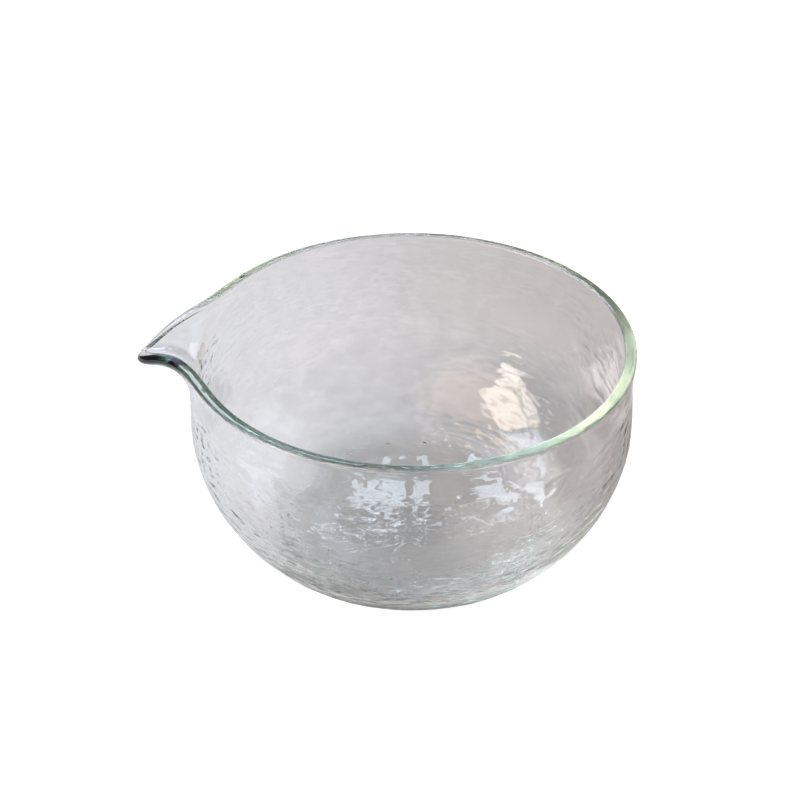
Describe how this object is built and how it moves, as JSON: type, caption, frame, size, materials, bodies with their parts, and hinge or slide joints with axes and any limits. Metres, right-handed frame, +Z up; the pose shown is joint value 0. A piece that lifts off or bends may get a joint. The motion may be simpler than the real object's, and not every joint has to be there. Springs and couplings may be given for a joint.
{
  "type": "mixing bowl",
  "caption": "Round-bellied clear glass mixing bowl with a thick fire-polished rim, a pouring lip pulled out of it and a flat underside.",
  "frame": {"origin": "centre of the flat underside, on the bowl's axis, so the bowl stands on z = 0", "axes": "+Z up along the bowl's axis, the pouring lip points along -X, and +Y is the lip's right-hand side seen from inside, looking out over the lip"},
  "size_m": [0.141, 0.127, 0.0671],
  "materials": {
    "glass": "clear soda-lime glass, smooth inside and at the rim, softly dented outside"
  },
  "bodies": {
    "root": {"bowl": "glass"}
  },
  "joints": []
}
